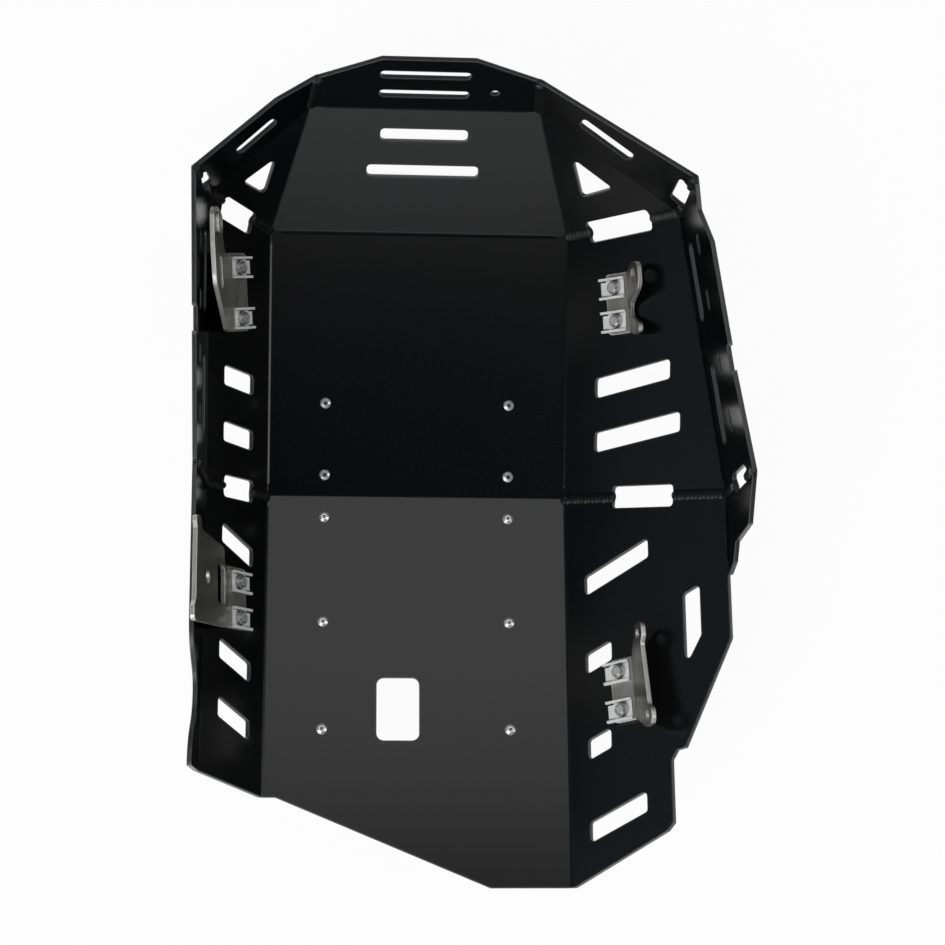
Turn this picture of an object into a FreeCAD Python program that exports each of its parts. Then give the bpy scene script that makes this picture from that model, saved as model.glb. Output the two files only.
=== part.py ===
# Engine guard of a motorcycle: a dish of folded and welded aluminium sheet, open upwards,
# with four stainless brackets held by bolts and clip nuts, and skid strips under its floor.
# X is to the right, Y is forward and Z is up. The skid strips stand on Z = 0, and Y = 0 is
# the fold between the floor and the rear panel. Millimetres and degrees.
import FreeCAD, Part
import math
import os

Vec = FreeCAD.Vector
UP = Vec(0, 0, 1)
FORWARD = Vec(0, 1, 0)

# Sheet and folds
sheet = 3.0
bend_radius = 4.0
weld_radius = 2.3

# Centre panels
floor_width = 207.0
floor_length = 184.0
rear_tilt = 16.0
rear_length = 269.0
rear_left_length = 209.0
rear_edge_width = 54.0
front_tilt = 42.0
front_length = 102.0
nose_width = 153.0
rear_left_chamfer = 9.0
lip_tilt = 67.0
lip_height = 57.0
lip_top_width = 61.0

# Side walls: slope, and the corners where the flanges start, as distance along and up the wall
left_slope = 53.0
left_wall = 66.0
left_front_corner = 203.0
left_rear_corner = 10.0
right_slope = 42.0
right_front_wall = 93.0
right_rear_wall = 132.0
right_front_corner = 195.0
right_rear_corner = 6.0

# Flanges: slope, height of the welded seams between them, and height of their top edges
left_flange_slope = 82.5
left_tail_flange_slope = 83.0
left_cheek_flange_slope = 76.5
right_flange_slope = 85.5
right_tail_flange_slope = 87.25
right_cheek_flange_slope = 73.3
left_front_seam = 50.3
left_rear_seam = 36.0
left_nose_seam = 34.2
right_front_seam = 52.5
right_rear_seam = 74.0
right_nose_seam = 35.0
left_cheek_flange_mid = 44.5
left_cheek_kink = 78.0
left_tail_length = 194.0
left_tail_flange_mid = 31.0
left_tail_flange_dip = 11.0
left_tail_flange_rear = 25.0
tail_dip_start = 113.0
tail_dip_end = 179.0
tail_dip_width = 20.0
tail_dip_shoulder = 40.0
tail_dip_corner = 30.0
right_flange_mid = 65.5
right_flange_front = 64.0
right_flange_step = 46.5
right_step_start = 156.5
right_step_end = 182.0
right_tail_flange_edge = ((35.5, 57.0), (38.5, 21.5), (50.0, 14.0), (55.0, 0.0))
edge_notch_depth = 5.0
edge_notch_length = 16.5
left_notch_start = 98.0
right_notch_start = 71.0

# Free edge of the right tail: its straight run, and a ledge with a jog, placed from the rear edge
right_tail_straight = 116.0
right_tail_step = 78.0
right_tail_ledge = 82.0
right_tail_jog = 7.0
right_tail_jog_height = 11.0
right_tail_corner = 37.0
right_tail_chamfer = 5.0

# Windows in the side walls: (middle along the fold, lower end, upper end), and how they lean
window_height = 13.5
window_corner = 2.5
left_wing_windows = ((41.0, 17.0, 48.0), (79.0, 17.0, 48.0))
right_wing_windows = ((46.8, 26.0, 95.5), (83.5, 26.0, 87.0))
left_tail_windows = ((42.0, 15.0, 48.0), (121.0, 15.0, 48.0), (160.0, 15.0, 48.0))
right_tail_windows = ((55.5, 16.5, 68.5), (116.0, 16.0, 37.0), (175.0, 16.5, 35.0), (225.0, 16.5, 62.0))
wing_window_lean = 12.0
tail_window_lean = -21.0
left_cheek_triangle = ((45.0, 34.0), (64.0, 14.0), (33.0, 14.0))
right_cheek_triangle = ((69.0, 17.0), (46.0, 43.0), (36.0, 18.0))
right_tail_trapezoid = ((82.0, 95.0), (131.0, 95.0), (111.0, 108.0), (77.0, 108.0))

# Windows on the welded seams of the walls: (start along the seam, end, sideways shift)
seam_window_width = 15.0
left_front_window = (21.0, 54.0, 3.0)
right_front_window = (20.0, 71.0, 0.0)
left_rear_window = (17.0, 48.0, 0.0)
right_rear_window = (42.0, 91.0, 0.0)

# Relief holes beside the flange seams, as (along, up) points on a flange, and the seam's gap there
left_front_relief = ((-1.7, 15.0), (7.1, 11.6), (11.6, 32.0), (8.9, 35.4))
left_front_gap = (13.0, 35.0)
right_front_relief = ((0.2, 8.5), (12.2, 10.2), (16.9, 37.6), (15.1, 39.8), (6.1, 34.0))
right_front_gap = (10.0, 38.0)
right_rear_relief = ((8.6, 21.5), (11.4, 55.1), (8.4, 59.5), (0.1, 57.5), (-3.1, 28.5))
right_rear_gap = (24.0, 57.0)

# Slots in the centre panels and flanges: (middle along, middle up, length)
slot_corner = 3.0
front_slot_width = 9.8
front_slots = ((0.0, 81.2, 59.0), (0.0, 52.2, 76.0))
lip_slot_width = 8.2
lip_slots = ((-1.7, 40.0, 59.0), (-1.7, 18.0, 59.0))
cheek_slot_width = 12.0
left_cheek_slots = ((50.7, 21.8, 32.0),)
right_cheek_slots = ((70.0, 22.8, 41.0),)
flange_slot_width = 9.0
flange_slit_width = 5.0
left_flange_slots = ((57.0, 12.1, 52.0), (140.0, 12.1, 52.0))
left_flange_slits = ((45.0, 25.0, 13.0), (84.0, 26.8, 13.0), (120.0, 27.5, 13.0), (158.0, 28.5, 13.0))
right_flange_slots = ((57.0, 19.1, 52.0), (141.0, 14.5, 52.0))
right_flange_slits = ((42.5, 40.5, 13.0), (80.5, 38.1, 13.0), (124.0, 35.9, 13.0), (162.0, 34.7, 13.0))
access_width = 29.0
access_length = 43.0
access_corner = 5.0
access_side = -12.5
access_middle = 149.0
nose_hole_diameter = 6.0
nose_hole_side = 45.0
nose_hole_height = 21.0

# Skid strips and their screws
strip_spacing = 128.0
strip_width = 20.0
strip_thickness = 6.0
strip_end = 11.0
floor_screw_rows = (15.0, 65.0)
rear_screw_rows = (15.0, 89.0, 163.0)
screw_diameter = 4.0
screw_head_diameter = 7.6
screw_head_height = 2.2
screw_socket = 2.5

# Brackets, bolts and clip nuts
bracket_sheet = 3.0
bracket_bend = 3.0
bracket_inset = 8.0
bracket_corner = 3.0
clip_sheet = 0.9
clip_width = 14.6
clip_tip = 7.4
clip_overhang = 4.6
clip_rail_width = 1.7
clip_rail_height = 1.3
clip_bow_gap = 1.1
bolt_diameter = 6.0
bolt_clearance = 0.6
bolt_head_diameter = 11.0
bolt_head_height = 3.4
bolt_socket = 4.0
bolt_end = 0.9
washer_diameter = 13.0
washer_thickness = 1.2
nut_foot_diameter = 9.6
nut_top_diameter = 8.2
nut_height = 3.4
tab_hole = 8.6
small_tab_hole = 6.6
spacer_diameter = 15.0
spacer_length = 2.5

# Bracket places: the middle of the two bolts along and up the wall, the turn in the wall's plane,
# the reach from the bolt line to the bend, the bolts' spacing and the two ends of the base
front_left_place = dict(along=138.0, up=37.5, turn=5.5, reach=11.5, spacing=34.5, base=(-26.0, 27.0))
front_right_place = dict(along=134.5, up=45.5, turn=-5.0, reach=10.0, spacing=23.0, base=(-20.5, 21.5))
rear_left_place = dict(along=81.0, up=34.0, turn=-3.0, reach=11.5, spacing=24.5, base=(-22.0, 20.0))
rear_right_place = dict(along=142.0, up=47.0, turn=4.0, reach=10.0, spacing=26.0, base=(-22.0, 21.0))

# Bracket tabs: slope above the level, outline as (along, up) points from the bend, radii of its
# corners, holes as (along, up, diameter) and cutouts as (along, up, length, width)
front_left_tab = dict(
    tab_slope=83.0, corners=(0, 4, 12, 14, 9, 9, 6, 0),
    outline=((-26, 0), (-25, 12), (8, 46), (35, 47), (57, 44), (57, 24), (27, 9), (27, 0)),
    holes=((46.0, 34.0, tab_hole),), cutouts=((14.0, 26.0, 22.0, 9.0),))
front_right_tab = dict(
    tab_slope=78.0, corners=(0, 3, 5, 5, 5, 6, 8, 9, 5, 0),
    outline=((-20.5, 0), (-22.5, 6), (-21.5, 17), (-16.5, 17), (-9, 2), (-2, 2), (9, 21), (25, 21),
             (27, 10), (21.5, 0)),
    holes=((18.0, 11.5, tab_hole),), cutouts=())
rear_left_tab = dict(
    tab_slope=76.0, corners=(0, 3, 5, 4, 3, 4, 4, 4, 4, 5, 0),
    outline=((-22, 0), (-22, 6), (-33, 7), (-35, 58), (-43, 60), (-43, 71), (-34, 69), (13, 73),
             (18, 77), (27, 77), (20, 0)),
    holes=((-6.0, 46.0, tab_hole),), cutouts=((-7.0, 14.7, 26.5, 17.5),))
rear_right_tab = dict(
    tab_slope=82.0, corners=(0, 6, 6, 5, 4, 4, 5, 6, 6, 0),
    outline=((-22, 0), (-40, 13), (-40, 26), (-29, 26), (-26, 21.5), (17, 26), (20, 32), (30, 32),
             (30, 18), (21, 0)),
    holes=((-33.0, 17.0, small_tab_hole), (23.5, 23.0, small_tab_hole)), cutouts=())

FAR = 900.0


def unit(vector):
    return Vec(vector).normalize()


def slope_vector(direction, angle):
    """Unit vector that rises at an angle above a level direction."""
    rise = math.radians(angle)
    return direction * math.cos(rise) + UP * math.sin(rise)


class Panel:
    """A flat part of a sheet: an origin on its inner face, its fold direction, the way up its
    slope, and the normal of its inner face, which turns to the given side."""

    def __init__(self, origin, along, inside, facing=UP):
        self.origin = origin
        self.along = unit(along)
        up = inside - origin
        self.up = unit(up - self.along * up.dot(self.along))
        self.normal = self.along.cross(self.up)
        if self.normal.dot(facing) < 0:
            self.normal = self.normal * -1

    def at(self, along, up, height=0.0):
        return self.origin + self.along * along + self.up * up + self.normal * height

    def prism(self, outline, low, high, corner=0.0):
        """Solid on an outline of (along, up) points, from one height over the face to another."""
        base = [self.at(a, u, low) for a, u in outline]
        return rounded_face(base, corner).extrude(self.normal * (high - low))

    def rod(self, along, up, low, high, diameter):
        return Part.makeCylinder(diameter / 2, high - low, self.at(along, up, low), self.normal)


def outward_panel(start, end, angle):
    """Panel on the line from start to end that rises outward at an angle above the level."""
    along = unit(end - start)
    level = unit(Vec(along.y, -along.x, 0))
    if level.dot(start - Vec(0, floor_length / 2, start.z)) < 0:
        level = level * -1
    rise = unit(UP - along * along.z)
    tilt = math.radians(angle)
    return Panel(start, along, start + level * math.cos(tilt) + rise * math.sin(tilt))


def rounded_face(points, corner):
    """Flat face through the points, with corners rounded by one radius or by one for each."""
    count = len(points)
    radii = corner if isinstance(corner, (list, tuple)) else [corner] * count
    edges = []
    first = last = None
    for i, point in enumerate(points):
        to_previous = points[i - 1] - point
        to_next = points[(i + 1) % count] - point
        half_angle = to_previous.getAngle(to_next) / 2
        reach = 0.45 * min(to_previous.Length, to_next.Length)
        radius = min(radii[i], reach * math.tan(half_angle))
        if radius > 0:
            back = radius / math.tan(half_angle)
            enter = point + unit(to_previous) * back
            leave = point + unit(to_next) * back
            inward = unit(unit(to_previous) + unit(to_next))
            middle = point + inward * (radius / math.sin(half_angle) - radius)
            arc = Part.Arc(enter, middle, leave).toShape()
        else:
            enter = leave = point
            arc = None
        if last is None:
            first = enter
        else:
            edges.append(Part.makeLine(last, enter))
        if arc is not None:
            edges.append(arc)
        last = leave
    edges.append(Part.makeLine(last, first))
    return Part.Face(Part.Wire(edges))


def block_outside(panel, offset):
    """Large block that covers all that lies outside a panel, offset outward from its face."""
    side = Vec(panel.along)
    other = panel.normal.cross(side)
    corner = panel.origin - panel.normal * (offset + FAR) - (side + other) * (FAR / 2)
    matrix = FreeCAD.Matrix(side.x, other.x, panel.normal.x, corner.x,
                            side.y, other.y, panel.normal.y, corner.y,
                            side.z, other.z, panel.normal.z, corner.z, 0, 0, 0, 1)
    block = Part.makeBox(FAR, FAR, FAR)
    block.Placement = FreeCAD.Placement(matrix)
    return block


# Corners of the inner faces, named by side: a = floor and front, b = floor and rear,
# c = front and lip, d and e = front and rear corners of the flanges.
floor_z = strip_thickness + sheet
half = floor_width / 2
rear_way = slope_vector(FORWARD * -1, rear_tilt)
front_way = slope_vector(FORWARD, front_tilt)
left_way = slope_vector(Vec(-1, 0, 0), left_slope)
right_way = slope_vector(Vec(1, 0, 0), right_slope)
a_left = Vec(-half, floor_length, floor_z)
a_right = Vec(half, floor_length, floor_z)
b_left = Vec(-half, 0, floor_z)
b_right = Vec(half, 0, floor_z)
c_left = Vec(-nose_width / 2, floor_length, floor_z) + front_way * front_length
c_right = Vec(nose_width / 2, floor_length, floor_z) + front_way * front_length
d_left = b_left + FORWARD * left_front_corner + left_way * left_wall
e_left = b_left + FORWARD * left_rear_corner + left_way * left_wall
d_right = b_right + FORWARD * right_front_corner + right_way * right_front_wall
e_right = b_right + FORWARD * right_rear_corner + right_way * right_rear_wall

# Panels of the dish
floor = Panel(Vec(0, 0, floor_z), Vec(1, 0, 0), Vec(0, 1, floor_z))
rear = Panel(Vec(0, 0, floor_z), Vec(1, 0, 0), Vec(0, 0, floor_z) + rear_way)
front = Panel(Vec(0, floor_length, floor_z), Vec(1, 0, 0), Vec(0, floor_length, floor_z) + front_way)
lip_base = front.at(0, front_length)
lip = Panel(lip_base, Vec(1, 0, 0), lip_base + slope_vector(FORWARD, lip_tilt))
left_wing = Panel(b_left, FORWARD, d_left)
left_tail = Panel(b_left, rear_way, e_left)
left_cheek = Panel(a_left, c_left - a_left, d_left)
right_wing = Panel(b_right, FORWARD, d_right)
right_tail = Panel(b_right, rear_way, e_right)
right_cheek = Panel(a_right, c_right - a_right, d_right)
left_flange = outward_panel(e_left, d_left, left_flange_slope)
left_tail_flange = outward_panel(e_left, e_left + rear_way, left_tail_flange_slope)
left_cheek_flange = outward_panel(d_left, c_left, left_cheek_flange_slope)
right_flange = outward_panel(e_right, d_right, right_flange_slope)
right_tail_flange = outward_panel(e_right, e_right + rear_way, right_tail_flange_slope)
right_cheek_flange = outward_panel(d_right, c_right, right_cheek_flange_slope)
panels = (floor, rear, front, lip, left_wing, left_tail, left_cheek, right_wing, right_tail,
          right_cheek, left_flange, left_tail_flange, left_cheek_flange, right_flange,
          right_tail_flange, right_cheek_flange)

# Folds as pairs of panels, with the two ends of their line; open ends run past the edge
open_end = 5 * bend_radius
tail_fold_left = b_left + rear_way * (rear_left_length + open_end)
tail_fold_right = b_right + rear_way * (rear_length + open_end)
tail_bend_left = e_left + rear_way * (left_tail_length + open_end)
tail_bend_right = e_right + rear_way * right_tail_flange_edge[-1][0]
folds = ((floor, rear, b_left, b_right), (floor, front, a_left, a_right),
         (front, lip, c_left, c_right), (floor, left_wing, b_left, a_left),
         (floor, right_wing, b_right, a_right), (rear, left_tail, b_left, tail_fold_left),
         (rear, right_tail, b_right, tail_fold_right), (front, left_cheek, a_left, c_left),
         (front, right_cheek, a_right, c_right), (left_cheek, left_cheek_flange, d_left, c_left),
         (left_wing, left_flange, e_left, d_left),
         (left_tail, left_tail_flange, e_left, tail_bend_left),
         (right_cheek, right_cheek_flange, d_right, c_right),
         (right_wing, right_flange, e_right, d_right),
         (right_tail, right_tail_flange, e_right, tail_bend_right))


def dish(offset):
    """Closed body bounded by the panels' faces, each moved outward by an offset."""
    body = Part.makeBox(FAR, FAR, FAR / 2, Vec(-FAR / 2, -FAR / 2, -FAR / 4))
    for panel in panels:
        body = body.cut(block_outside(panel, offset))
    return body


def fold_sliver(first, second, start, end, offset):
    """What the rounding of a fold takes off the sharp edge of the body at this offset."""
    inward = unit(first.normal + second.normal)
    half_cos = inward.dot(first.normal)
    along = unit(end - start)
    stop_short = 2 * bend_radius
    foot = start + along * stop_short
    edge = foot - inward * (offset / half_cos)
    centre = foot + inward * (bend_radius / half_cos)
    radius = bend_radius + offset
    touch_first = centre - first.normal * radius
    touch_second = centre - second.normal * radius
    arc = Part.Arc(touch_first, centre - inward * radius, touch_second).toShape()
    outline = Part.Wire([Part.makeLine(edge, touch_first), arc, Part.makeLine(touch_second, edge)])
    return Part.Face(outline).extrude(along * ((end - start).Length - 2 * stop_short))


def rounded_dish(offset):
    body = dish(offset)
    return body.cut([fold_sliver(a, b, start, end, offset) for a, b, start, end in folds])


def trim_above(panel, edge, corners=0.0):
    """Cutter for all of a panel above its top edge, a row of (along, up) points."""
    deep = 4 * sheet
    over = max(up for along, up in edge) + FAR / 4
    outline = list(edge) + [(edge[-1][0], over), (edge[0][0], over)]
    return panel.prism(outline, -deep, deep, corners)


def leaning_window(panel, centre, low, high, lean):
    """Cutter for a window between two distances up a wall, leaning along the wall by an angle."""
    shift = math.tan(math.radians(lean)) * (high - low) / 2
    reach = window_height / 2
    outline = ((centre - shift - reach, low), (centre + shift - reach, high),
               (centre + shift + reach, high), (centre - shift + reach, low))
    return panel.prism(outline, -2 * sheet, sheet, window_corner)


def slot(panel, along, up, length, width, corner):
    outline = ((along - length / 2, up - width / 2), (along + length / 2, up - width / 2),
               (along + length / 2, up + width / 2), (along - length / 2, up + width / 2))
    return panel.prism(outline, -2 * sheet, sheet, corner)


def seam_panel(first, second, start, end):
    """Frame on a welded seam, facing halfway between its two panels."""
    along = unit(end - start)
    facing = unit(first.normal + second.normal)
    return Panel(start, along, start + facing.cross(along))


def seam_slot(frame, low, high, side):
    """Cutter for a window on a welded seam, moved sideways off the seam's line."""
    near, away = side - seam_window_width / 2, side + seam_window_width / 2
    outline = ((low, near), (high, near), (high, away), (low, away))
    return frame.prism(outline, -4 * sheet, 4 * sheet, window_corner)


def seam_way(first, second):
    """Direction of the upright seam between two flanges."""
    along = unit(first.normal.cross(second.normal))
    return along if along.z > 0 else along * -1


# Welded seams of the walls: the two panels, the two ends and the window
wall_seams = ((left_cheek, left_wing, a_left, d_left, left_front_window),
              (right_cheek, right_wing, a_right, d_right, right_front_window),
              (left_wing, left_tail, b_left, e_left, left_rear_window),
              (right_wing, right_tail, b_right, e_right, right_rear_window))
# Welded seams of the flanges: the two panels, the foot, the height, and the bead's gap if any
flange_seams = {"left_front": (left_cheek_flange, left_flange, d_left, left_front_seam, left_front_gap),
                "right_front": (right_cheek_flange, right_flange, d_right, right_front_seam, right_front_gap),
                "left_rear": (left_flange, left_tail_flange, e_left, left_rear_seam, None),
                "right_rear": (right_flange, right_tail_flange, e_right, right_rear_seam, right_rear_gap),
                "left_nose": (lip, left_cheek_flange, c_left, left_nose_seam, None),
                "right_nose": (lip, right_cheek_flange, c_right, right_nose_seam, None)}


def seam_top(panel, seam):
    """Top of a flange seam, as distances along and up one of its panels."""
    first, second, foot, height = flange_seams[seam][:4]
    offset = foot + seam_way(first, second) * height - panel.origin
    return panel.along.dot(offset), panel.up.dot(offset)


def past(point, neighbour):
    """A point level with the end of an edge and a little further out, across the mitred seam."""
    along, up = point
    step = 0.6 * sheet
    return (along + step, up) if along > neighbour[0] else (along - step, up)


def edge_between(panel, first_seam, middle, last_seam):
    """Top edge of a panel from one seam's top to another's, run a little past both."""
    points = [seam_top(panel, first_seam)] + list(middle) + [seam_top(panel, last_seam)]
    return [past(points[0], points[1])] + points + [past(points[-1], points[-2])]


def notch(start, first, last):
    """Points of the shallow notch in a flange's top edge, between its heights at both ends."""
    end = start + edge_notch_length
    return [(start, first), (start, first - edge_notch_depth), (end, last - edge_notch_depth), (end, last)]


def flange_cutters():
    """Cutters for the top edges of the lip and the flanges."""
    start, end = seam_top(left_flange, "left_rear"), seam_top(left_flange, "left_front")
    rise = (end[1] - start[1]) / (end[0] - start[0])
    notch_height = start[1] + rise * (left_notch_start - start[0])
    left_notch = notch(left_notch_start, notch_height, notch_height + rise * edge_notch_length)
    left_edge = edge_between(left_flange, "left_rear", left_notch, "left_front")
    right_steps = notch(right_notch_start, right_flange_mid, right_flange_mid)
    right_steps += [(right_step_start, right_flange_front), (right_step_end, right_flange_step)]
    right_edge = edge_between(right_flange, "right_rear", right_steps, "right_front")
    left_cheek_edge = edge_between(left_cheek_flange, "left_front",
                                   [(left_cheek_kink, left_cheek_flange_mid)], "left_nose")
    right_cheek_edge = edge_between(right_cheek_flange, "right_front", [], "right_nose")
    lip_middle = [(-lip_top_width / 2, lip_height), (lip_top_width / 2, lip_height)]
    lip_edge = edge_between(lip, "left_nose", lip_middle, "right_nose")
    cutters = [trim_above(left_flange, left_edge), trim_above(right_flange, right_edge),
               trim_above(left_cheek_flange, left_cheek_edge),
               trim_above(right_cheek_flange, right_cheek_edge), trim_above(lip, lip_edge)]
    dip_middle = (tail_dip_start + tail_dip_end) / 2
    left_tail_edge = [seam_top(left_tail_flange, "left_rear"), (tail_dip_start, left_tail_flange_mid),
                      (dip_middle - tail_dip_width / 2, left_tail_flange_dip),
                      (dip_middle + tail_dip_width / 2, left_tail_flange_dip),
                      (tail_dip_end, left_tail_flange_rear), (FAR / 3, left_tail_flange_rear)]
    left_tail_edge.insert(0, past(left_tail_edge[0], left_tail_edge[1]))
    dip_corners = [0, 0, tail_dip_shoulder, tail_dip_corner, tail_dip_corner, tail_dip_shoulder, 0, 0, 0]
    cutters.append(trim_above(left_tail_flange, left_tail_edge, dip_corners))
    right_tail_edge = [seam_top(right_tail_flange, "right_rear")] + list(right_tail_flange_edge)
    right_tail_edge.insert(0, past(right_tail_edge[0], right_tail_edge[1]))
    cutters.append(trim_above(right_tail_flange, right_tail_edge))
    return cutters


def rear_cutters():
    """Cutters for the rear edges of the rear panel and the two tails."""
    cutters = []
    left_corner = left_tail.up.dot(e_left - b_left)
    left_end = left_tail.along.dot(e_left - b_left) + left_tail_length
    left_rear_edge = ((rear_left_length, -sheet), (rear_left_length, 0.0), (left_end, left_corner),
                      (left_end, FAR / 4), (FAR / 2, FAR / 4), (FAR / 2, -sheet))
    cutters.append(left_tail.prism(left_rear_edge, -2 * sheet, FAR / 8))
    wall = right_tail.up.dot(e_right - b_right) - 0.5
    shoulder = right_tail.along.dot(e_right - b_right) + right_tail_flange_edge[-1][0]
    step = rear_length - right_tail_step
    ledge_end = rear_length - right_tail_corner
    right_rear_edge = ((shoulder, wall), (right_tail_straight, wall),
                       (step - right_tail_jog, right_tail_ledge + right_tail_jog_height),
                       (step - 0.85 * right_tail_jog, right_tail_ledge + 0.4 * right_tail_jog_height),
                       (step, right_tail_ledge), (ledge_end, right_tail_ledge),
                       (ledge_end + right_tail_chamfer, right_tail_ledge - right_tail_chamfer),
                       (rear_length, sheet), (rear_length, -sheet), (FAR / 2, -sheet),
                       (FAR / 2, FAR / 4), (shoulder, FAR / 4))
    cutters.append(right_tail.prism(right_rear_edge, -2 * sheet, FAR / 8))
    beyond = half + 7 * sheet
    rear_edge = ((-beyond, rear_left_length), (-half + rear_left_chamfer, rear_left_length),
                 (half - rear_edge_width, rear_length), (beyond, rear_length),
                 (beyond, FAR / 2), (-beyond, FAR / 2))
    cutters.append(rear.prism(rear_edge, -4 * sheet, bend_radius))
    return cutters


def opening_cutters():
    """Cutters for the windows, slots and holes in the sheet."""
    cutters = []
    for first, second, start, end, window in wall_seams:
        cutters.append(seam_slot(seam_panel(first, second, start, end), *window))
    for panel, outline in ((left_cheek_flange, left_front_relief), (right_cheek_flange, right_front_relief),
                           (right_flange, right_rear_relief)):
        cutters.append(panel.prism(outline, -3 * sheet, 2 * sheet, window_corner))
    for panel, windows, lean in ((left_wing, left_wing_windows, wing_window_lean),
                                 (right_wing, right_wing_windows, wing_window_lean),
                                 (left_tail, left_tail_windows, tail_window_lean),
                                 (right_tail, right_tail_windows, tail_window_lean)):
        for centre, low, high in windows:
            cutters.append(leaning_window(panel, centre, low, high, lean))
    for panel, outline in ((right_tail, right_tail_trapezoid), (left_cheek, left_cheek_triangle),
                           (right_cheek, right_cheek_triangle)):
        cutters.append(panel.prism(outline, -2 * sheet, sheet, window_corner))
    for panel, slots, width in ((front, front_slots, front_slot_width), (lip, lip_slots, lip_slot_width),
                                (left_cheek_flange, left_cheek_slots, cheek_slot_width),
                                (right_cheek_flange, right_cheek_slots, cheek_slot_width),
                                (left_flange, left_flange_slots, flange_slot_width),
                                (left_flange, left_flange_slits, flange_slit_width),
                                (right_flange, right_flange_slots, flange_slot_width),
                                (right_flange, right_flange_slits, flange_slit_width)):
        for along, up, length in slots:
            cutters.append(slot(panel, along, up, length, width, min(slot_corner, width / 2.2)))
    cutters.append(slot(rear, access_side, access_middle, access_width, access_length, access_corner))
    cutters.append(lip.rod(nose_hole_side, nose_hole_height, -2 * sheet, sheet, nose_hole_diameter))
    for site in bracket_sites:
        for along in site["bolts"]:
            cutters.append(site["seat"].rod(along, 0, -2 * sheet, sheet, bolt_diameter + bolt_clearance))
    for panel, side, rows in strip_sites():
        for row in rows:
            cutters.append(panel.rod(side, row, -2 * sheet, sheet, screw_diameter))
    return cutters


def weld_beads():
    """Round beads along the inside of the welded seams, with gaps at the openings."""
    runs = []
    for first, second, start, end, (low, high, side) in wall_seams:
        along = unit(end - start)
        runs.append((start + along * weld_radius, start + along * (low + 1)))
        runs.append((start + along * (high - 1), end))
    for first, second, foot, height, gap in flange_seams.values():
        along = seam_way(first, second)
        top = height - weld_radius / 2
        for low, high in ((0, gap[0]), (gap[1], top)) if gap else ((0, top),):
            runs.append((foot + along * low, foot + along * high))
    return [Part.makeCylinder(weld_radius, (end - start).Length, start, unit(end - start))
            for start, end in runs]


def guard_shell():
    body = rounded_dish(sheet).cut(rounded_dish(0.0))
    body = body.cut(flange_cutters() + rear_cutters())
    body = body.fuse(weld_beads())
    body = body.cut(opening_cutters())
    main = max(body.Solids, key=lambda solid: solid.Volume)
    return main.removeSplitter()


def bracket(site):
    """Bent plate: a base on the wall's clips and a tab that turns up for the motorcycle's frame."""
    wall, tab = site["seat"], site["tab"]
    turn = math.radians(site["tab_slope"])
    first = min(along for along, up in site["outline"]) - 1
    last = max(along for along, up in site["outline"]) + 1
    tall = max(up for along, up in site["outline"]) + 1
    foot = -bracket_inset
    crease = site["reach"] - bracket_bend * math.tan(turn / 2)
    top = clip_sheet + bracket_sheet
    centre = wall.at(first, crease, top + bracket_bend)

    def spoke(angle, radius):
        return centre + (wall.up * math.sin(angle) - wall.normal * math.cos(angle)) * radius

    inner, outer = bracket_bend, bracket_bend + bracket_sheet
    rise = tab.up * tall
    edges = [Part.makeLine(wall.at(first, foot, clip_sheet), wall.at(first, foot, top)),
             Part.makeLine(wall.at(first, foot, top), spoke(0, inner)),
             Part.Arc(spoke(0, inner), spoke(turn / 2, inner), spoke(turn, inner)).toShape(),
             Part.makeLine(spoke(turn, inner), spoke(turn, inner) + rise),
             Part.makeLine(spoke(turn, inner) + rise, spoke(turn, outer) + rise),
             Part.makeLine(spoke(turn, outer) + rise, spoke(turn, outer)),
             Part.Arc(spoke(turn, outer), spoke(turn / 2, outer), spoke(0, outer)).toShape(),
             Part.makeLine(spoke(0, outer), wall.at(first, foot, clip_sheet))]
    plate = Part.Face(Part.Wire(edges)).extrude(wall.along * (last - first))
    begin, end = site["base"]
    crease_end = site["reach"] + bracket_bend
    blank = wall.prism(((begin, foot), (end, foot), (end, crease_end), (begin, crease_end)),
                       -top, 2 * top, [bracket_corner, bracket_corner, 0, 0])
    blank = blank.fuse(tab.prism(site["outline"], -2 * bracket_sheet, bracket_sheet, site["corners"]))
    plate = plate.common(blank)
    holes = [wall.rod(along, 0, 0, 2 * top, bolt_diameter + bolt_clearance)
             for along in site["bolts"]]
    for along, up, diameter in site["holes"]:
        holes.append(tab.rod(along, up, -2 * bracket_sheet, bracket_sheet, diameter))
    for along, up, length, width in site["cutouts"]:
        holes.append(slot(tab, along, up, length, width, slot_corner))
    return plate.cut(holes).removeSplitter()


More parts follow.
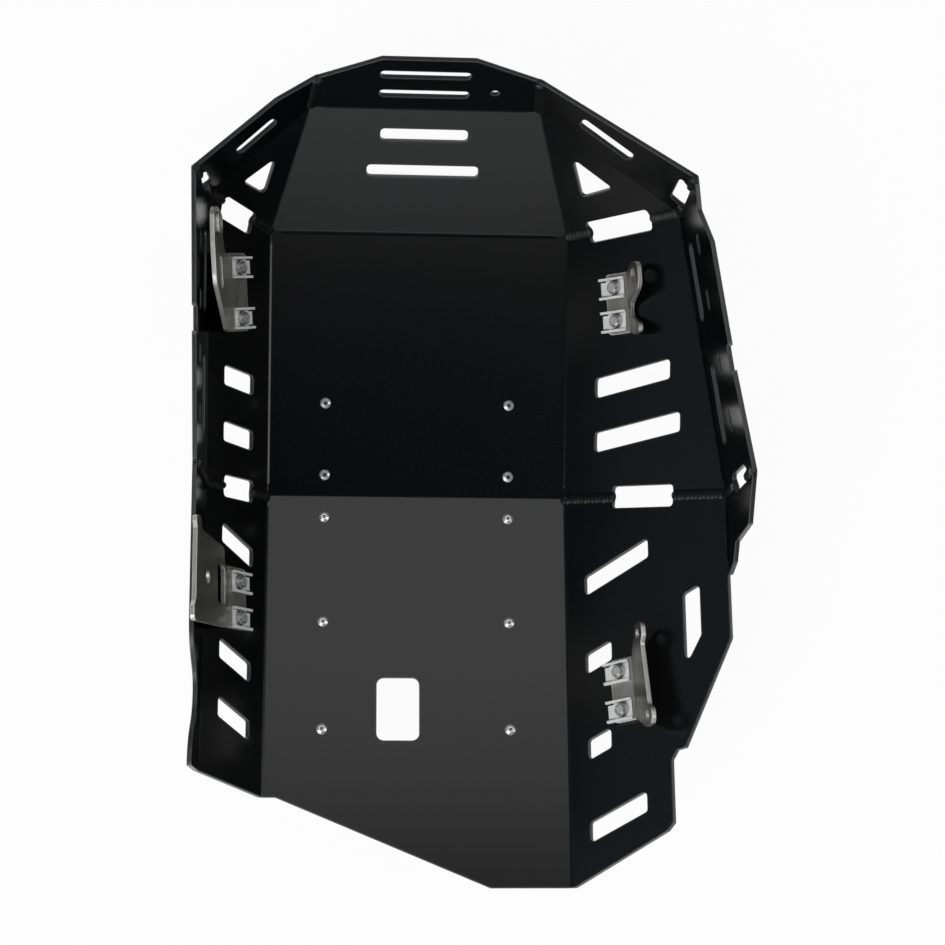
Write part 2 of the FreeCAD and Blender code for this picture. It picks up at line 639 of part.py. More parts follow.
def clip(wall, along, up):
    """Spring clip over the bracket's edge: two legs, a narrow bow and two rails beside the nut."""
    top = 2 * clip_sheet + bracket_sheet
    radius = top / 2
    heel = -bracket_inset - clip_overhang
    tail = heel + radius
    side = clip_width / 2
    bow_half = side - clip_rail_width - clip_bow_gap

    def point(u, height):
        return wall.at(along - bow_half, up + u, height)

    edges = [Part.makeLine(point(0, 0), point(tail, 0)),
             Part.Arc(point(tail, 0), point(tail - radius, radius), point(tail, top)).toShape(),
             Part.makeLine(point(tail, top), point(0, top)),
             Part.makeLine(point(0, top), point(0, top - clip_sheet)),
             Part.makeLine(point(0, top - clip_sheet), point(tail, top - clip_sheet)),
             Part.Arc(point(tail, top - clip_sheet), point(tail - radius + clip_sheet, radius),
                      point(tail, clip_sheet)).toShape(),
             Part.makeLine(point(tail, clip_sheet), point(0, clip_sheet)),
             Part.makeLine(point(0, clip_sheet), point(0, 0))]
    bow = Part.Face(Part.Wire(edges)).extrude(wall.along * (2 * bow_half))
    shoulder = up - bracket_inset + clip_bow_gap
    tip = up + clip_tip
    leg = ((along - side, shoulder), (along + side, shoulder), (along + side, tip), (along - side, tip))
    pieces = [wall.prism(leg, 0, clip_sheet), wall.prism(leg, top - clip_sheet, top)]
    for edge in (along - side, along + side - clip_rail_width):
        other = edge + clip_rail_width
        rail = ((edge, up + heel), (other, up + heel), (other, tip), (edge, tip))
        pieces.append(wall.prism(rail, top - clip_sheet, top + clip_rail_height))
    body = bow.fuse(pieces)
    body = body.cut(wall.rod(along, up, -1, top + 1, bolt_diameter + bolt_clearance))
    return body.removeSplitter()


def nut(wall, along, up):
    """Tapered round barrel on the clip's upper leg, bored for the bolt."""
    low = 2 * clip_sheet + bracket_sheet
    barrel = Part.makeCone(nut_foot_diameter / 2, nut_top_diameter / 2, nut_height,
                           wall.at(along, up, low), wall.normal)
    return barrel.cut(wall.rod(along, up, low - 1, low + nut_height + 1, bolt_diameter))


def button(seat, direction, diameter, height, socket):
    """Domed screw head on a seat, with a hexagon socket in its top."""
    side = unit(direction.cross(Vec(0.3, 1, 0.2)))
    other = direction.cross(side)
    radius = diameter / 2
    dome = ((0, 0), (radius, 0), (radius, 0.25 * height), (0.86 * radius, 0.68 * height),
            (0.5 * radius, height), (0, height))
    profile = [seat + side * out + direction * rise for out, rise in dome]
    head = rounded_face(profile, 0.0).revolve(seat, direction, 360)
    reach = socket / math.sqrt(3)
    floor_of_socket = seat + direction * (0.35 * height)
    corners = []
    for i in range(6):
        angle = math.radians(60 * i)
        corners.append(floor_of_socket + side * (reach * math.cos(angle)) + other * (reach * math.sin(angle)))
    return head.cut(rounded_face(corners, 0.0).extrude(direction * height))


def bolt(wall, along, up):
    low = -sheet - washer_thickness
    high = 2 * clip_sheet + bracket_sheet + nut_height + bolt_end
    seat = wall.at(along, up, low)
    head = button(seat, wall.normal * -1, bolt_head_diameter, bolt_head_height, bolt_socket)
    return head.fuse(wall.rod(along, up, low, high, bolt_diameter)).removeSplitter()


def washer(wall, along, up):
    ring = wall.rod(along, up, -sheet - washer_thickness, -sheet, washer_diameter)
    return ring.cut(wall.rod(along, up, -2 * sheet, 0, bolt_diameter + bolt_clearance))


def strip(panel, side, rows):
    """Skid strip under a panel, with blind holes for its screws."""
    begin, end = rows[0] - strip_end, rows[-1] + strip_end
    left, right = side - strip_width / 2, side + strip_width / 2
    outline = ((left, begin), (right, begin), (right, end), (left, end))
    body = panel.prism(outline, -sheet - strip_thickness, -sheet, strip_width / 4)
    under = [edge for edge in body.Edges
             if all(abs((vertex.Point - panel.origin).dot(panel.normal) + sheet + strip_thickness) < 0.01
                    for vertex in edge.Vertexes)]
    body = body.makeChamfer(strip_thickness / 4, under)
    return body.cut([panel.rod(side, row, -sheet - 0.75 * strip_thickness, 0, screw_diameter)
                     for row in rows])


def strip_screw(panel, side, row):
    head = button(panel.at(side, row), panel.normal, screw_head_diameter, screw_head_height, screw_socket)
    shank = panel.rod(side, row, -sheet - 0.75 * strip_thickness, 0, screw_diameter)
    return head.fuse(shank).removeSplitter()


def spacer(site):
    along, up, diameter = site["holes"][0]
    ring = site["tab"].rod(along, up, 0, spacer_length, spacer_diameter)
    return ring.cut(site["tab"].rod(along, up, -1, spacer_length + 1, diameter))


def bracket_site(name, wall, wall_slope, along, up, turn, reach, spacing, base,
                 tab_slope, outline, corners, holes, cutouts):
    """Where a bracket sits on its wall, turned in its plane, and the outline of its tab. The seat's
    origin is midway between the bolts; the bend is at the given reach from the bolt line."""
    spin = math.radians(turn)
    origin = wall.at(along, up)
    seat_along = wall.along * math.cos(spin) + wall.up * math.sin(spin)
    seat = Panel(origin, seat_along, origin + wall.up, wall.normal)
    fold = math.radians(tab_slope - wall_slope)
    root = seat.at(0, reach, clip_sheet + bracket_sheet)
    tab_up = seat.up * math.cos(fold) + seat.normal * math.sin(fold)
    tab = Panel(root, seat.along, root + tab_up, seat.normal)
    return {"name": name, "seat": seat, "tab": tab, "tab_slope": tab_slope - wall_slope,
            "reach": reach, "bolts": (-spacing / 2, spacing / 2), "base": base, "outline": outline,
            "corners": corners, "holes": holes, "cutouts": cutouts}


bracket_sites = (
    bracket_site("front_left", left_wing, left_slope, **front_left_place, **front_left_tab),
    bracket_site("front_right", right_wing, right_slope, **front_right_place, **front_right_tab),
    bracket_site("rear_left", left_tail, left_slope, **rear_left_place, **rear_left_tab),
    bracket_site("rear_right", right_tail, right_slope, **rear_right_place, **rear_right_tab))


def strip_sites():
    """Panel, sideways place and screw rows of the four skid strips."""
    side = strip_spacing / 2
    return ((floor, -side, floor_screw_rows), (floor, side, floor_screw_rows),
            (rear, -side, rear_screw_rows), (rear, side, rear_screw_rows))


# All nodes, as lists of solids
nodes = {"guard_shell": [guard_shell()]}
for site in bracket_sites:
    places = [(site["seat"], along, 0.0) for along in site["bolts"]]
    nodes[site["name"] + "_bracket"] = [bracket(site)]
    nodes[site["name"] + "_clips"] = [clip(*place) for place in places]
    nodes[site["name"] + "_nuts"] = [nut(*place) for place in places]
    nodes[site["name"] + "_bolts"] = [bolt(*place) for place in places]
    nodes[site["name"] + "_washers"] = [washer(*place) for place in places]
nodes["front_left_spacer"] = [spacer(bracket_sites[0])]
for name, (panel, side, rows) in zip(("front_left", "front_right", "rear_left", "rear_right"), strip_sites()):
    nodes[name + "_skid_strip"] = [strip(panel, side, rows)]
    nodes[name + "_strip_screws"] = [strip_screw(panel, side, row) for row in rows]

# The origin is under the middle of the whole guard
box = Part.makeCompound([solid for solids in nodes.values() for solid in solids]).BoundBox
to_origin = Vec(-(box.XMin + box.XMax) / 2, -(box.YMin + box.YMax) / 2, -box.ZMin)
os.makedirs("parts", exist_ok=True)
for name, solids in nodes.items():
    shape = solids[0] if len(solids) == 1 else Part.makeCompound(solids)
    shape.translate(to_origin)
    shape.exportStep("parts/" + name + ".step")
    print(name, len(shape.Solids), round(shape.Volume, 1), shape.isValid())
print("moved to the origin by", to_origin)
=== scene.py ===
import math

import bmesh
import bpy
from mathutils import Matrix, Vector


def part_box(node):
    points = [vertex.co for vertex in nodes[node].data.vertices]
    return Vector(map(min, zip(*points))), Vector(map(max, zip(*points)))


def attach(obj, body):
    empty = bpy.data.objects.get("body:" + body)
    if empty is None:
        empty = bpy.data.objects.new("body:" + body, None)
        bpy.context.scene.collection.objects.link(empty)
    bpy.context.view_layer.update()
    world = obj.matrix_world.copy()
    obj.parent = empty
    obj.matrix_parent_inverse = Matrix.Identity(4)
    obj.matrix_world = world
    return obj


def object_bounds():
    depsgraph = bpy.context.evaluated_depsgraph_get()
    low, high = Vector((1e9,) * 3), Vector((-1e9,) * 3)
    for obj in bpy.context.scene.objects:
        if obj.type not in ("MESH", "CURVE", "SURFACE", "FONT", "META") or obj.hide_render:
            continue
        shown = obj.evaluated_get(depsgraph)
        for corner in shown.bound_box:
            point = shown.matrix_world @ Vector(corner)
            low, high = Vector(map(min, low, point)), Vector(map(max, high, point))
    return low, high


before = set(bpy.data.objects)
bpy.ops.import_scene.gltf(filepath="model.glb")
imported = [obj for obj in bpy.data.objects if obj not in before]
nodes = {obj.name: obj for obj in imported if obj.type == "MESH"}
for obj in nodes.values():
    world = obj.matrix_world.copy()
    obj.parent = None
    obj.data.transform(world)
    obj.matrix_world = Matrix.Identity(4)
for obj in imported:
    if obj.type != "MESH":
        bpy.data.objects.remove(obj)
cad_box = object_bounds()

SITES = ("front_left", "front_right", "rear_left", "rear_right")
MM = 0.001
UP = Vector((0, 0, 1))
FORWARD = Vector((0, 1, 0))
RIGHTWARD = Vector((1, 0, 0))

# The guard's sheet, as the part's source has it: angles in degrees
SHEET = 3.0 * MM
FLOOR_WIDTH = 207.0 * MM
FLOOR_LENGTH = 184.0 * MM
STRIP_START = 4.0 * MM
REAR_TILT = 16.0
FRONT_TILT = 42.0
FRONT_LENGTH = 102.0 * MM
NOSE_WIDTH = 153.0 * MM
LIP_TILT = 67.0

# Each side's wall, with its two top corners from rear to front, and its three flanges
LEFT_SLOPE = 53.0
LEFT_WALLS = (66.0 * MM, 66.0 * MM)
LEFT_CORNERS = (10.0 * MM, 203.0 * MM)
LEFT_FLANGE_SLOPES = (83.0, 82.5, 76.5)
RIGHT_SLOPE = 42.0
RIGHT_WALLS = (132.0 * MM, 93.0 * MM)
RIGHT_CORNERS = (6.0 * MM, 195.0 * MM)
RIGHT_FLANGE_SLOPES = (87.25, 85.5, 73.3)

# Weld beads: the drops' size, spacing and unevenness, the point they face, and the skin over them
WELD_RADIUS = 4.3 * MM
WELD_HEIGHT = 2.4 * MM
WELD_PITCH = 3.1 * MM
WELD_OVERLAP = 0.76
WELD_UNEVEN = 0.07
WELD_UNEVEN_STEP = 2.4
WELD_GRID = 0.45 * MM
WELD_SMOOTHING = 0.5
WELD_SMOOTHING_ROUNDS = 6
DROP_SUBDIVISIONS = 3
KNOB_RADIUS = 4.3 * MM
KNOB_HEIGHT = 3.0 * MM
DROP_AIM_HEIGHT = 200.0 * MM

# Ends of the weld runs, in millimetres along each seam from its foot
LEFT_RUNS = {
    "front_wall": ((1.0, 20.0), (57.0, 68.0)),
    "rear_wall": ((1.0, 16.0), (52.5, 66.0)),
    "front_flange": ((0.0, 10.0), (39.0, 48.0)),
    "rear_flange": ((0.0, 32.5),),
    "nose": ((2.0, 31.0),),
}
RIGHT_RUNS = {
    "front_wall": ((1.0, 19.0), (73.5, 94.0)),
    "rear_wall": ((1.0, 41.0), (93.5, 132.0)),
    "front_flange": ((0.0, 7.0), (42.5, 50.0)),
    "rear_flange": ((0.0, 21.0), (61.0, 69.0)),
    "nose": ((2.0, 31.5),),
}

# Shading: where noise turns from dark to light, eased edges, painted highlights on cut edges and painted
# shade in corners
TINT_START = 0.3
TINT_END = 0.7
EASED_SAMPLES = 8
COAT_EASE = 1.0 * MM
STAINLESS_EASE = 0.9 * MM
NEAR_SAMPLES = 6
RIM_REACH = 0.95 * SHEET
HIGHLIGHT_FACING_START = 0.35
HIGHLIGHT_FACING_END = 0.75
# Painted highlight: lighter grey on the coat's cut edges
COAT_PAINTED_HIGHLIGHT_COLOR = (0.16, 0.164, 0.17)
COAT_RIM_ROUGHNESS = 0.45
# Painted highlight: near white on the stainless cut edges that face up
STAINLESS_PAINTED_HIGHLIGHT_COLOR = (1.0, 0.99, 0.96)
STAINLESS_RIM_ROUGHNESS = 0.34
STAINLESS_RIM_METALLIC = 0.05
# Painted shade: near-black colour laid into narrow corners between pieces
PAINTED_SHADE_REACH = 2.5 * MM
PAINTED_SHADE_COLOR = (0.03, 0.03, 0.03)
SCREW_PAINTED_SHADE_COLOR = (0.02, 0.02, 0.02)
PEEL_DEPTH = 0.3 * MM
PEEL_STRENGTH = 0.06

# Stage: the white floor, the world's tones by height, and the lamps in metres and watts
STAGE_SIZE = 12.0
STAGE_COLOR = (0.9, 0.9, 0.9)
STAGE_ROUGHNESS = 0.9
WHITE = (1, 1, 1, 1)
WHITE_SHARE = 0.95
HORIZON_HEIGHT = 0.35
HORIZON_COLOR = (0.19, 0.2, 0.214, 1)
ZENITH_HEIGHT = 0.95
ZENITH_COLOR = (0.011, 0.0135, 0.018, 1)
OBJECT_MIDDLE = (0.0, 0.0, 0.05)
BEHIND_MIDDLE = (0.0, -0.1, 0.05)
LAMPS = {
    "front_softbox": {"place": (0.0, 0.99, 1.83), "aim": BEHIND_MIDDLE, "size": (1.6, 0.96), "power": 6.1},
    "rear_softbox": {"place": (0.0, -1.9, 0.9), "aim": OBJECT_MIDDLE, "size": (1.6, 0.8), "power": 3.1},
    "left_softbox": {"place": (-1.05, -0.85, 1.15), "aim": OBJECT_MIDDLE, "size": (1.0, 1.5), "power": 18.0},
    "right_softbox": {"place": (1.35, 0.1, 1.65), "aim": OBJECT_MIDDLE, "size": (0.7, 1.4), "power": 9.0},
}

# The photograph's camera, as places from the middle of the floor's rear fold
EYE = Vector((-66.0, 18.0, 1500.0)) * MM
TARGET = Vector((39.2, 17.9, 0.0)) * MM
ROLL = 0.7
VIEW_ANGLE = 24.8
SENSOR_WIDTH = 36.0


def floor_origin():
    """Middle of the fold between floor and rear panel, on the sheet's inner face."""
    left_low, left_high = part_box("front_left_skid_strip")
    right_low, right_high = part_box("front_right_skid_strip")
    return Vector(((left_low[0] + right_high[0]) / 2, left_low[1] - STRIP_START, left_high[2] + SHEET))


ORIGIN = floor_origin()


def rising(level, angle):
    """Unit vector that rises at an angle above a level direction."""
    return level * math.cos(math.radians(angle)) + UP * math.sin(math.radians(angle))


# Materials
def new_material(name, color, roughness, metallic=0.0):
    """Material with plain values, and its shader, whose sockets can then be fed by nodes."""
    material = bpy.data.materials.new(name)
    material.use_nodes = True
    shader = material.node_tree.nodes["Principled BSDF"]
    shader.inputs["Base Color"].default_value = (*color, 1)
    shader.inputs["Roughness"].default_value = roughness
    shader.inputs["Metallic"].default_value = metallic
    return material, shader


def link(material, value, socket):
    """Feeds a socket from a node's output."""
    material.node_tree.links.new(value, socket)


def noise(material, scale, detail, stretch=(1, 1, 1)):
    """Noise in the object's own space, stretched along its axes."""
    tree = material.node_tree
    place = tree.nodes.new("ShaderNodeTexCoord")
    mapping = tree.nodes.new("ShaderNodeMapping")
    mapping.inputs["Scale"].default_value = stretch
    texture = tree.nodes.new("ShaderNodeTexNoise")
    texture.inputs["Scale"].default_value = scale
    texture.inputs["Detail"].default_value = detail
    tree.links.new(place.outputs["Object"], mapping.inputs["Vector"])
    tree.links.new(mapping.outputs["Vector"], texture.inputs["Vector"])
    return texture.outputs["Fac"]


def spread(material, value, low, high):
    """Maps a 0 to 1 value to a range."""
    ramp = material.node_tree.nodes.new("ShaderNodeMapRange")
    ramp.inputs["To Min"].default_value = low
    ramp.inputs["To Max"].default_value = high
    link(material, value, ramp.inputs["Value"])
    return ramp.outputs["Result"]


def tint(material, value, dark, light):
    """Colour between two tones by a 0 to 1 value."""
    ramp = material.node_tree.nodes.new("ShaderNodeValToRGB")
    ramp.color_ramp.elements[0].position = TINT_START
    ramp.color_ramp.elements[0].color = (*dark, 1)
    ramp.color_ramp.elements[1].position = TINT_END
    ramp.color_ramp.elements[1].color = (*light, 1)
    link(material, value, ramp.inputs["Fac"])
    return ramp.outputs["Color"]


def bump(material, shader, value, depth, strength, normal=None):
    """Raises the surface by a 0 to 1 value, for the light only."""
    node = material.node_tree.nodes.new("ShaderNodeBump")
    node.inputs["Distance"].default_value = depth
    node.inputs["Strength"].default_value = strength
    link(material, value, node.inputs["Height"])
    if normal:
        link(material, normal, node.inputs["Normal"])
    link(material, node.outputs["Normal"], shader.inputs["Normal"])


def eased(material, radius):
    """Normal that rounds the sharp edges for the light, where paint or a polish eases them."""
    node = material.node_tree.nodes.new("ShaderNodeBevel")
    node.samples = EASED_SAMPLES
    node.inputs["Radius"].default_value = radius
    return node.outputs["Normal"]


def nearness(material, inside, distance, none, full):
    """Share from 0 to 1 by how closely faces surround a point, inside its own mesh or outside."""
    tree = material.node_tree
    node = tree.nodes.new("ShaderNodeAmbientOcclusion")
    node.inside = inside
    node.only_local = inside
    node.samples = NEAR_SAMPLES
    node.inputs["Distance"].default_value = distance
    ramp = tree.nodes.new("ShaderNodeMapRange")
    ramp.inputs["From Min"].default_value = none
    ramp.inputs["From Max"].default_value = full
    tree.links.new(node.outputs["AO"], ramp.inputs["Value"])
    return ramp.outputs["Result"]


def cut_edge(material):
    """1 on the thin faces round a sheet's outline, 0 on its broad faces."""
    return nearness(material, inside=True, distance=RIM_REACH, none=0.65, full=0.33)


def painted_shade(material):
    """Mask for painted shade: 1 in narrow corners between pieces, 0 in the open."""
    return nearness(material, inside=False, distance=PAINTED_SHADE_REACH, none=0.72, full=0.4)


def facing_up(material, share):
    """Keeps a share only where the surface faces upward, so a painted highlight sits on the tops of edges.
    """
    tree = material.node_tree
    geometry = tree.nodes.new("ShaderNodeNewGeometry")
    split = tree.nodes.new("ShaderNodeSeparateXYZ")
    tree.links.new(geometry.outputs["True Normal"], split.inputs[0])
    ramp = tree.nodes.new("ShaderNodeMapRange")
    ramp.inputs["From Min"].default_value = HIGHLIGHT_FACING_START
    ramp.inputs["From Max"].default_value = HIGHLIGHT_FACING_END
    tree.links.new(split.outputs["Z"], ramp.inputs["Value"])
    product = tree.nodes.new("ShaderNodeMath")
    product.operation = "MULTIPLY"
    tree.links.new(share, product.inputs[0])
    tree.links.new(ramp.outputs["Result"], product.inputs[1])
    return product.outputs[0]


def blend(material, share, value, other, socket=None):
    """Colour or number that turns to another one by a 0 to 1 share, and feeds a socket if given."""
    tree = material.node_tree
    mix = tree.nodes.new("ShaderNodeMix")
    is_color = isinstance(other, tuple)
    mix.data_type = "RGBA" if is_color else "FLOAT"
    kind = "Color" if is_color else "Float"
    ends = {end.identifier: end for end in mix.inputs}
    tree.links.new(share, ends["Factor_Float"])
    if isinstance(value, (int, float)):
        ends["A_" + kind].default_value = value
    else:
        tree.links.new(value, ends["A_" + kind])
    ends["B_" + kind].default_value = (*other, 1) if is_color else other
    results = {end.identifier: end for end in mix.outputs}
    if socket:
        tree.links.new(results["Result_" + kind], socket)
    return results["Result_" + kind]


def black_coat(name):
    """Black powder coat, with the grain, colour and orange peel that sheet and welds share."""
    material, shader = new_material(name, color=(0.0012, 0.0016, 0.0022), roughness=0.23)
    grain = noise(material, scale=560.0, detail=2.0)
    color = tint(material, grain, dark=(0.0002, 0.0004, 0.0008), light=(0.0022, 0.0026, 0.0032))
    peel = noise(material, scale=800.0, detail=2.0)
    return material, shader, grain, color, peel


def powder_coat():
    """Satin coat of the sheet, with a painted highlight of lighter grey on its cut edges."""
    material, shader, grain, color, peel = black_coat("powder_coat")
    painted_highlight = cut_edge(material)
    # Painted highlight: lighter grey colour on the cut edges
    blend(material, painted_highlight, color, COAT_PAINTED_HIGHLIGHT_COLOR, shader.inputs["Base Color"])
    gloss = spread(material, grain, low=0.195, high=0.265)
    blend(material, painted_highlight, gloss, COAT_RIM_ROUGHNESS, shader.inputs["Roughness"])
    bump(material, shader, peel, PEEL_DEPTH, PEEL_STRENGTH, eased(material, COAT_EASE))
    return material


def weld_coat():
    """Duller coat of the weld beads."""
    material, shader, grain, color, peel = black_coat("weld_coat")
    link(material, color, shader.inputs["Base Color"])
    link(material, spread(material, grain, low=0.45, high=0.55), shader.inputs["Roughness"])
    bump(material, shader, peel, PEEL_DEPTH, PEEL_STRENGTH)
    return material


def stainless():
    """Brushed stainless sheet with fine lines along the guard, painted shade in its corners and a painted
    highlight of near white on its upward cut edges.
    """
    material, shader = new_material("stainless", color=(0.52, 0.51, 0.475), roughness=0.36, metallic=1.0)
    lines = noise(material, scale=260.0, detail=6.0, stretch=(1.0, 0.06, 1.0))
    color = tint(material, lines, dark=(0.46, 0.45, 0.42), light=(0.6, 0.59, 0.55))
    # Painted highlight: near-white colour on cut edges that face up, toward the overhead light
    painted_highlight = facing_up(material, cut_edge(material))
    # Painted shade: darker colour in narrow corners
    color = blend(material, painted_shade(material), color, PAINTED_SHADE_COLOR)
    blend(material, painted_highlight, color, STAINLESS_PAINTED_HIGHLIGHT_COLOR, shader.inputs["Base Color"])
    gloss = spread(material, lines, low=0.33, high=0.47)
    blend(material, painted_highlight, gloss, STAINLESS_RIM_ROUGHNESS, shader.inputs["Roughness"])
    blend(material, painted_highlight, 1.0, STAINLESS_RIM_METALLIC, shader.inputs["Metallic"])
    bump(material, shader, lines, depth=0.1 * MM, strength=0.2, normal=eased(material, STAINLESS_EASE))
    return material


def zinc():
    """Pale zinc plate with small spangles and painted shade in its corners."""
    material, shader = new_material("zinc", color=(0.95, 0.95, 0.94), roughness=0.36, metallic=0.15)
    spangle = noise(material, scale=420.0, detail=3.0)
    color = tint(material, spangle, dark=(0.91, 0.91, 0.9), light=(0.99, 0.99, 0.98))
    # Painted shade: dark colour in narrow corners
    blend(material, painted_shade(material), color, PAINTED_SHADE_COLOR, shader.inputs["Base Color"])
    link(material, spread(material, spangle, low=0.28, high=0.44), shader.inputs["Roughness"])
    return material


def screw_steel():
    """Plain stainless of the bolts, washers and screws, with painted shade in their corners."""
    material, shader = new_material("screw_steel", color=(0.84, 0.84, 0.83), roughness=0.28, metallic=0.7)
    wear = noise(material, scale=300.0, detail=4.0)
    color = tint(material, wear, dark=(0.76, 0.76, 0.75), light=(0.92, 0.92, 0.91))
    # Painted shade: dark colour in narrow corners
    blend(material, painted_shade(material), color, SCREW_PAINTED_SHADE_COLOR, shader.inputs["Base Color"])
    link(material, spread(material, wear, low=0.2, high=0.36), shader.inputs["Roughness"])
    return material


def nut_steel():
    """Darker steel of the round nuts."""
    material, shader = new_material("nut_steel", color=(0.55, 0.55, 0.54), roughness=0.3, metallic=1.0)
    wear = noise(material, scale=380.0, detail=4.0)
    color = tint(material, wear, dark=(0.48, 0.48, 0.47), light=(0.62, 0.62, 0.61))
    link(material, color, shader.inputs["Base Color"])
    link(material, spread(material, wear, low=0.24, high=0.36), shader.inputs["Roughness"])
    return material


def black_plastic():
    """Matte polyethylene with a fine grain."""
    material, shader = new_material("black_plastic", color=(0.02, 0.02, 0.02), roughness=0.6)
    grain = noise(material, scale=500.0, detail=5.0)
    color = tint(material, grain, dark=(0.016, 0.016, 0.016), light=(0.026, 0.026, 0.026))
    link(material, color, shader.inputs["Base Color"])
    bump(material, shader, grain, depth=0.2 * MM, strength=0.3)
    return material


POWDER_COAT = powder_coat()
WELD_COAT = weld_coat()
STAINLESS = stainless()
ZINC = zinc()
SCREW_STEEL = screw_steel()
NUT_STEEL = nut_steel()
BLACK_PLASTIC = black_plastic()


def dress(name, material):
    """Gives a CAD node its material."""
    piece = nodes[name]
    piece.data.materials.clear()
    piece.data.materials.append(material)


def dress_nodes():
    dress("guard_shell", POWDER_COAT)
    dress("front_left_spacer", STAINLESS)
    for site in SITES:
        dress(site + "_bracket", STAINLESS)
        dress(site + "_clips", ZINC)
        dress(site + "_nuts", NUT_STEEL)
        dress(site + "_bolts", SCREW_STEEL)
        dress(site + "_washers", SCREW_STEEL)
        dress(site + "_strip_screws", SCREW_STEEL)
        dress(site + "_skid_strip", BLACK_PLASTIC)


# Weld beads on the seams of the sheet
def flange_normal(start, end, angle):
    """Normal of the flange that rises at an angle outward from the line between two corners."""
    along = (end - start).normalized()
    level = Vector((along.y, -along.x, 0)).normalized()
    if level.dot(start - FORWARD * (FLOOR_LENGTH / 2)) < 0:
        level = -level
    rise = (UP - along * along.z).normalized()
    tilt = math.radians(angle)
    return along.cross(level * math.cos(tilt) + rise * math.sin(tilt))


def meeting_line(normal, other):
    """Unit vector up the line where two panels meet."""
    way = normal.cross(other).normalized()
    return way if way.z > 0 else -way


def side_seams(outward, slope, walls, corners, flange_slopes, runs):
    """Foot, direction and runs of one side's seams, up its walls and then up its flanges."""
    wall_way = rising(outward, slope)
    rear_foot = outward * (FLOOR_WIDTH / 2)
    front_foot = rear_foot + FORWARD * FLOOR_LENGTH
    rear_top, front_top = (rear_foot + FORWARD * y + wall_way * wall for y, wall in zip(corners, walls))
    nose_middle = FORWARD * FLOOR_LENGTH + rising(FORWARD, FRONT_TILT) * FRONT_LENGTH
    nose = nose_middle + outward * (NOSE_WIDTH / 2)
    tail = rear_top + rising(-FORWARD, REAR_TILT)
    flange_feet = ((rear_top, tail), (rear_top, front_top), (front_top, nose))
    rear, middle, front = (flange_normal(*ends, angle) for ends, angle in zip(flange_feet, flange_slopes))
    lip = RIGHTWARD.cross(rising(FORWARD, LIP_TILT))
    wall_seams = (
        (front_foot, (front_top - front_foot).normalized(), runs["front_wall"]),
        (rear_foot, (rear_top - rear_foot).normalized(), runs["rear_wall"]),
    )
    flange_seams = (
        (front_top, meeting_line(middle, front), runs["front_flange"]),
        (rear_top, meeting_line(rear, middle), runs["rear_flange"]),
        (nose, meeting_line(lip, front), runs["nose"]),
    )
    return wall_seams, flange_seams


def weld_drop(mesh, place, way, radius, height, length):
    """One drop of weld on a seam: its radius across the seam, height into the dish, and length."""
    inward = ORIGIN + Vector((0, FLOOR_LENGTH / 2, DROP_AIM_HEIGHT)) - place
    inward = (inward - way * inward.dot(way)).normalized()
    axes = Matrix((way.cross(inward), inward, way)).transposed().to_4x4()
    size = Matrix.Diagonal((radius, height, length, 1))
    shape = Matrix.Translation(place) @ axes @ size
    bmesh.ops.create_icosphere(mesh, subdivisions=DROP_SUBDIVISIONS, radius=1.0, matrix=shape)


def weld_run(mesh, foot, way, low, high):
    """Row of overlapping drops, a little uneven, along a stretch of a seam."""
    count = max(1, round((high - low) / WELD_PITCH))
    for i in range(count + 1):
        radius = WELD_RADIUS * (1 + WELD_UNEVEN * math.sin(WELD_UNEVEN_STEP * i))
        place = foot + way * (low + (high - low) * i / count)
        weld_drop(mesh, place, way, radius, WELD_HEIGHT, WELD_OVERLAP * radius)


def keep_inside(mesh, box):
    """Trims the drops to the guard's own box."""
    for vertex in mesh.verts:
        vertex.co = Vector(max(low, min(high, c)) for low, high, c in zip(*box, vertex.co))


def weld_mesh():
    """All drops of the weld beads, with a knob at the top of each flange seam."""
    mesh = bmesh.new()
    left_walls, left_flanges = side_seams(
        -RIGHTWARD, LEFT_SLOPE, LEFT_WALLS, LEFT_CORNERS, LEFT_FLANGE_SLOPES, LEFT_RUNS)
    right_walls, right_flanges = side_seams(
        RIGHTWARD, RIGHT_SLOPE, RIGHT_WALLS, RIGHT_CORNERS, RIGHT_FLANGE_SLOPES, RIGHT_RUNS)
    flanges = left_flanges + right_flanges
    for foot, way, runs in left_walls + right_walls + flanges:
        for low, high in runs:
            weld_run(mesh, ORIGIN + foot, way, low * MM, high * MM)
    for foot, way, runs in flanges:
        top = ORIGIN + foot + way * (runs[-1][1] * MM)
        weld_drop(mesh, top, way, KNOB_RADIUS, KNOB_HEIGHT, KNOB_HEIGHT)
    keep_inside(mesh, cad_box)
    data = bpy.data.meshes.new("weld_beads")
    mesh.to_mesh(data)
    mesh.free()
    return data


def make_welds():
    """Joins the drops into one smooth skin that rides with the guard."""
    data = weld_mesh()
    data.materials.append(WELD_COAT)
    beads = bpy.data.objects.new("weld_beads", data)
    bpy.context.scene.collection.objects.link(beads)
    skin = beads.modifiers.new("one_skin", "REMESH")
    skin.mode = "VOXEL"
    skin.voxel_size = WELD_GRID
    skin.use_smooth_shade = True
    soften = beads.modifiers.new("soft_ripples", "SMOOTH")
    soften.factor = WELD_SMOOTHING
    soften.iterations = WELD_SMOOTHING_ROUNDS
    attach(beads, "root")


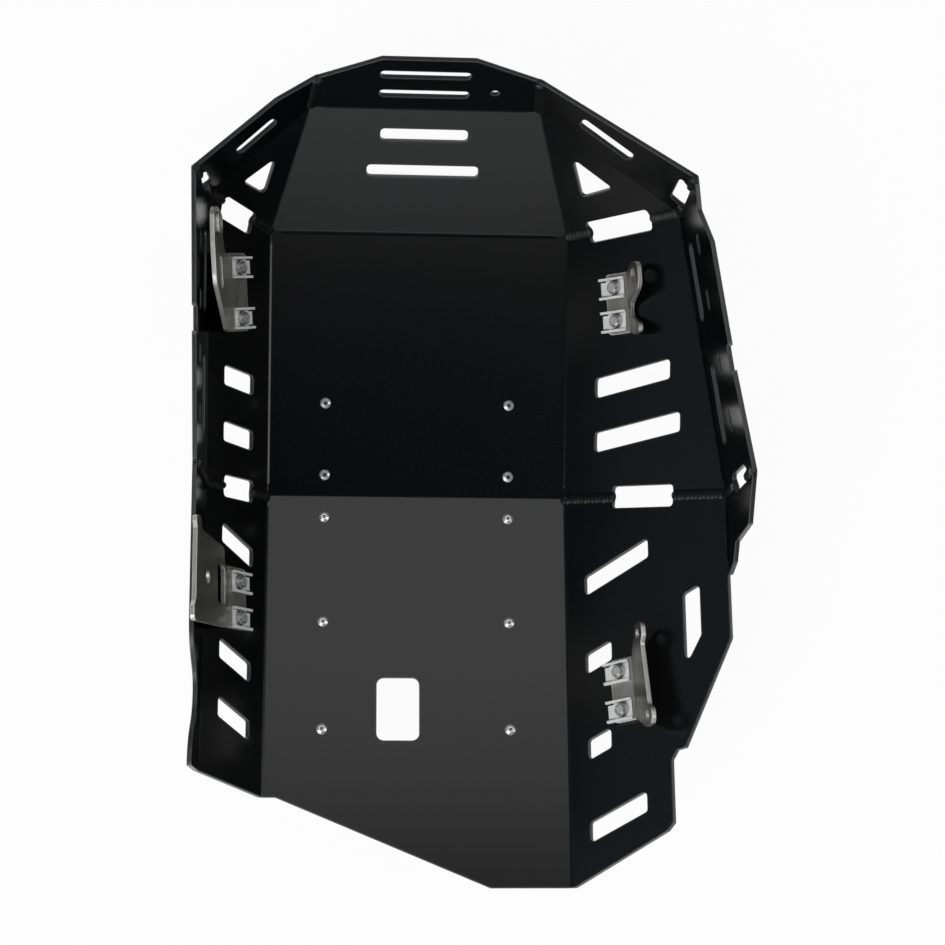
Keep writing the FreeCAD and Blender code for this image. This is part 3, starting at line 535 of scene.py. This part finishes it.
# Stage: white floor and backdrop, soft lamps, camera
def white_for_camera(tree, lit, out_socket):
    """Mixes a lit shader with plain white for camera and glossy rays."""
    path = tree.nodes.new("ShaderNodeLightPath")
    seen = tree.nodes.new("ShaderNodeMath")
    seen.operation = "MAXIMUM"
    tree.links.new(path.outputs["Is Camera Ray"], seen.inputs[0])
    tree.links.new(path.outputs["Is Glossy Ray"], seen.inputs[1])
    share = tree.nodes.new("ShaderNodeMath")
    share.operation = "MULTIPLY"
    share.inputs[1].default_value = WHITE_SHARE
    tree.links.new(seen.outputs[0], share.inputs[0])
    glow = tree.nodes.new("ShaderNodeEmission")
    glow.inputs["Color"].default_value = WHITE
    glow.inputs["Strength"].default_value = 1.0
    mix = tree.nodes.new("ShaderNodeMixShader")
    tree.links.new(share.outputs[0], mix.inputs["Fac"])
    tree.links.new(lit, mix.inputs[1])
    tree.links.new(glow.outputs[0], mix.inputs[2])
    tree.links.new(mix.outputs[0], out_socket)


def make_floor():
    bpy.ops.mesh.primitive_plane_add(size=STAGE_SIZE, location=(0, 0, 0))
    floor = bpy.context.object
    floor.name = "floor"
    material, shader = new_material("floor_white", STAGE_COLOR, STAGE_ROUGHNESS)
    tree = material.node_tree
    white_for_camera(tree, shader.outputs[0], tree.nodes["Material Output"].inputs["Surface"])
    floor.data.materials.append(material)


def make_world():
    """White for the camera; for light and reflections darker overhead than at the horizon."""
    world = bpy.data.worlds.new("studio")
    bpy.context.scene.world = world
    world.use_nodes = True
    tree = world.node_tree
    path = tree.nodes.new("ShaderNodeLightPath")
    place = tree.nodes.new("ShaderNodeTexCoord")
    split = tree.nodes.new("ShaderNodeSeparateXYZ")
    tree.links.new(place.outputs["Generated"], split.inputs[0])
    ramp = tree.nodes.new("ShaderNodeValToRGB")
    ramp.color_ramp.elements[0].position = HORIZON_HEIGHT
    ramp.color_ramp.elements[0].color = HORIZON_COLOR
    ramp.color_ramp.elements[1].position = ZENITH_HEIGHT
    ramp.color_ramp.elements[1].color = ZENITH_COLOR
    tree.links.new(split.outputs["Z"], ramp.inputs["Fac"])
    mix = tree.nodes.new("ShaderNodeMix")
    mix.data_type = "RGBA"
    tree.links.new(path.outputs["Is Camera Ray"], mix.inputs["Factor"])
    tree.links.new(ramp.outputs["Color"], mix.inputs["A"])
    mix.inputs["B"].default_value = WHITE
    background = tree.nodes["Background"]
    tree.links.new(mix.outputs["Result"], background.inputs["Color"])
    background.inputs["Strength"].default_value = 1.0


def soft_lamp(name, place, aim, size, power):
    """Rectangular lamp that faces a point."""
    data = bpy.data.lights.new(name, "AREA")
    data.shape = "RECTANGLE"
    data.size, data.size_y = size
    data.energy = power
    lamp = bpy.data.objects.new(name, data)
    bpy.context.scene.collection.objects.link(lamp)
    way = Vector(aim) - Vector(place)
    lamp.matrix_world = Matrix.Translation(place) @ way.to_track_quat("-Z", "Y").to_matrix().to_4x4()


def make_lamps():
    for name, lamp in LAMPS.items():
        soft_lamp(name, **lamp)


def make_camera():
    """Camera at the photograph's eye point, turned about its line of sight."""
    eye = EYE + ORIGIN
    look = (TARGET + ORIGIN - eye).normalized()
    right = look.cross(FORWARD).normalized()
    up = right.cross(look)
    turn = math.radians(ROLL)
    turned_right = right * math.cos(turn) + up * math.sin(turn)
    turned_up = up * math.cos(turn) - right * math.sin(turn)
    data = bpy.data.cameras.new("camera")
    data.sensor_width = SENSOR_WIDTH
    data.lens = SENSOR_WIDTH / 2 / math.tan(math.radians(VIEW_ANGLE / 2))
    camera = bpy.data.objects.new("camera", data)
    bpy.context.scene.collection.objects.link(camera)
    axes = Matrix((turned_right, turned_up, -look)).transposed().to_4x4()
    camera.matrix_world = Matrix.Translation(eye) @ axes
    bpy.context.scene.camera = camera


dress_nodes()
make_welds()
make_floor()
make_world()
make_lamps()
make_camera()
bpy.context.scene.view_settings.view_transform = "Standard"
